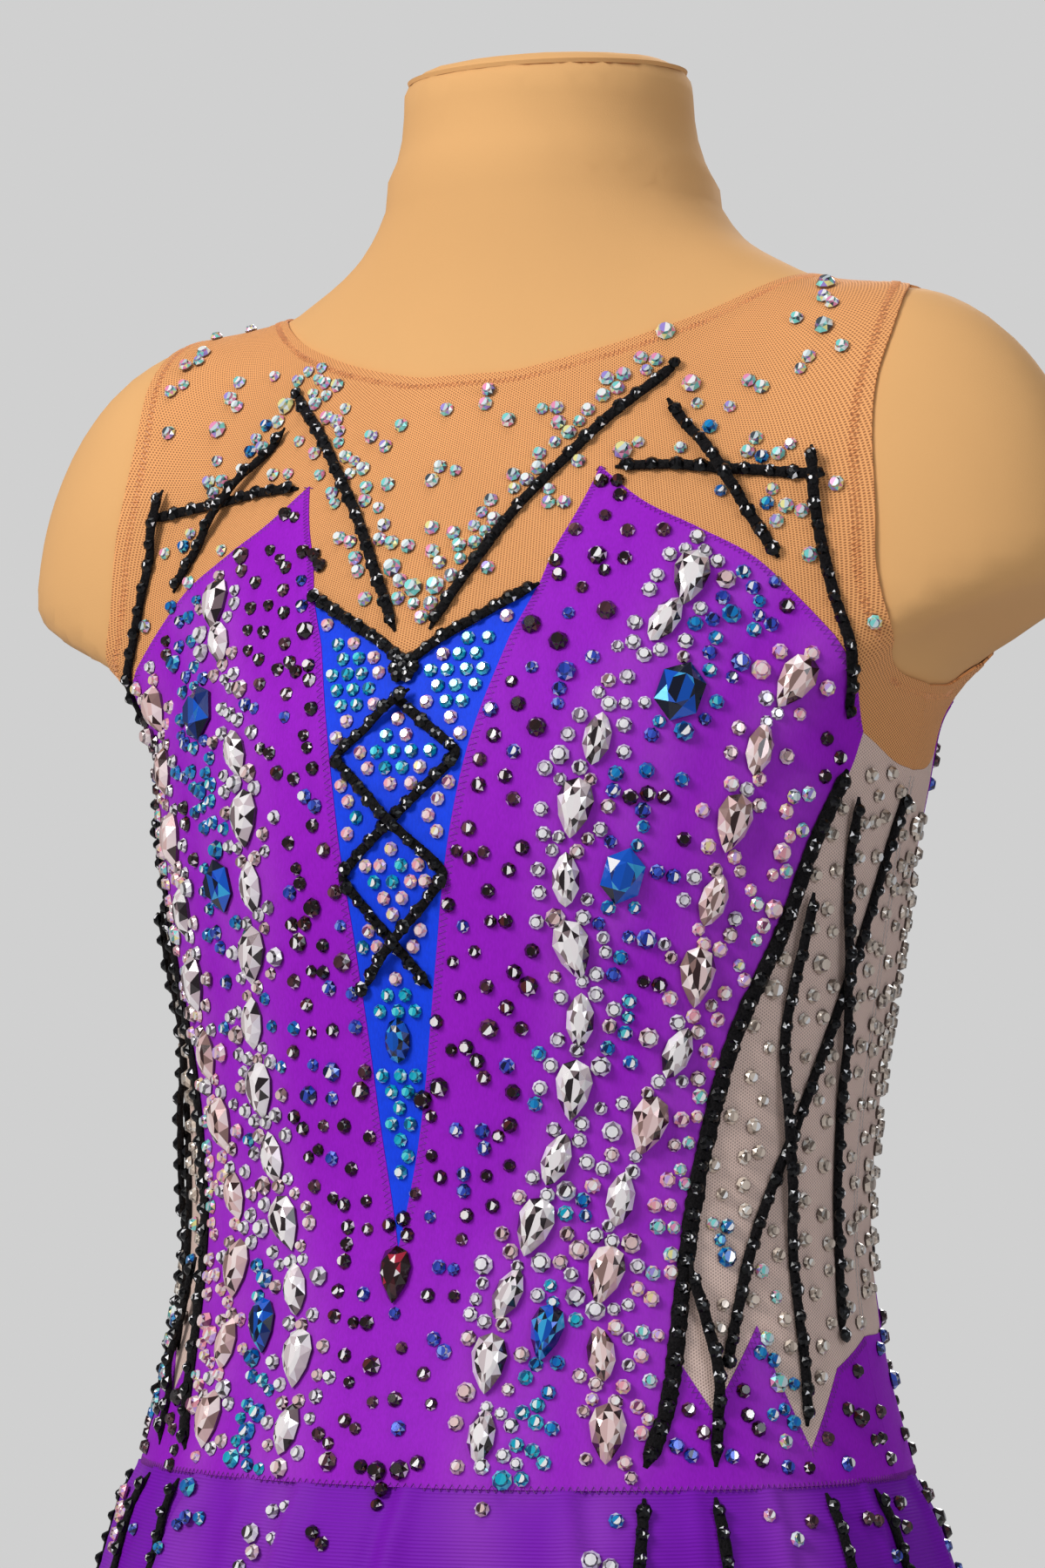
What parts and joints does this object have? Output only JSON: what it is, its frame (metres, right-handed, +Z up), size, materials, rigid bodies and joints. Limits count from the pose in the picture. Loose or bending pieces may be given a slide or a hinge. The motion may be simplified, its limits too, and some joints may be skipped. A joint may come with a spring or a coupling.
{
  "type": "rhythmic gymnastics leotard on a dress form",
  "caption": "Sleeveless rhythmic gymnastics leotard with a short flared skirt, net yoke, cord trims and crystals, worn by a limbless dress form that stands on its flat base.",
  "frame": {"origin": "middle of the whole at the base that it stands on", "axes": "+Z up, the front faces -Y, the wearer's left side is +X"},
  "size_m": [0.3843, 0.3024, 0.6651],
  "materials": {
    "jersey": "fine beige knitted cover, matte",
    "nude_net": "fine nude stretch net, matte",
    "grey_net": "grey-nude stretch net, matte",
    "purple_lycra": "purple stretch fabric, soft sheen",
    "blue_lycra": "royal blue stretch fabric, soft sheen",
    "purple_rib": "fine ribbed purple stretch mesh, matte",
    "black_cord": "black flocked cord",
    "crystal": "foil-backed cut crystal in clear, blue, aqua and dark colours"
  },
  "bodies": {
    "root": {"dress_form": "jersey", "yoke_front": "nude_net", "yoke_back": "nude_net", "bodice_front": "purple_lycra", "bodice_back": "purple_lycra", "centre_wedge": "blue_lycra", "side_front_left": "grey_net", "side_front_right": "grey_net", "side_back_left": "grey_net", "side_back_right": "grey_net", "brief_front": "purple_lycra", "brief_back": "purple_lycra", "skirt_left": "purple_rib", "skirt_right": "purple_rib", "cord_wedge": "black_cord", "lacing_under": "black_cord", "lacing_over": "black_cord", "cord_edge_left": "black_cord", "spray_inner_left": "black_cord", "spray_middle_left": "black_cord", "spray_outer_left": "black_cord", "web_long_left": "black_cord", "web_cross_left": "black_cord", "web_short_left": "black_cord", "cord_edge_right": "black_cord", "spray_inner_right": "black_cord", "spray_middle_right": "black_cord", "spray_outer_right": "black_cord", "web_long_right": "black_cord", "web_cross_right": "black_cord", "web_short_right": "black_cord", "stone_drop_centre": "crystal", "stone_oval_wedge": "crystal", "stone_hexagon_cup_left": "crystal", "stone_hexagon_cup_right": "crystal", "stone_hexagon_low_left": "crystal", "stone_hexagon_low_right": "crystal", "stone_drop_hip_left": "crystal", "stone_drop_hip_right": "crystal"}
  },
  "joints": []
}
